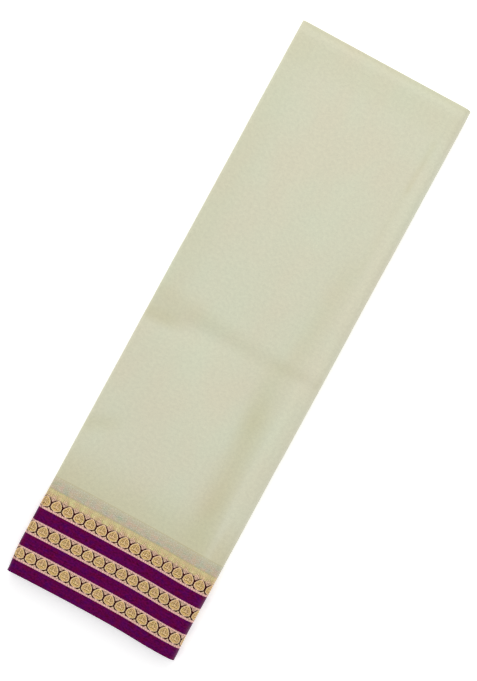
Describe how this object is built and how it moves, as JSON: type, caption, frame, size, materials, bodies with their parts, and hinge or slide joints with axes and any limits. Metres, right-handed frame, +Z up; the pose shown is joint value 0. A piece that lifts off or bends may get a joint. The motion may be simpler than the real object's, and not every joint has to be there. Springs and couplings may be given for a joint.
{
  "type": "folded sari",
  "caption": "Ivory silk crepe sari folded flat for the shelf, with a woven purple and zari border at one end and a plain fold at the other.",
  "frame": {"origin": "middle of the underside of the folded pack, on the surface that it rests on", "axes": "+X across the pack to its thick fold, +Y along the pack from the woven border to the plain head fold, +Z up"},
  "size_m": [0.1794, 0.5857, 0.0181],
  "materials": {
    "ivory_silk": "soft sheen, fine crepe grain",
    "purple_silk": "satin",
    "zari_brocade": "metallic thread over silk",
    "gold_silk": "ribbed, metallic thread",
    "grey_silk": "tone on tone figured weave"
  },
  "bodies": {
    "root": {"field": "ivory_silk", "inner_leaves": "ivory_silk", "selvedge_stripe": "purple_silk", "silk_stripe_low": "purple_silk", "silk_stripe_high": "purple_silk", "zari_row_low": "zari_brocade", "zari_row_middle": "zari_brocade", "zari_row_high": "zari_brocade", "gold_edge": "gold_silk", "pale_edge": "grey_silk"}
  },
  "joints": []
}
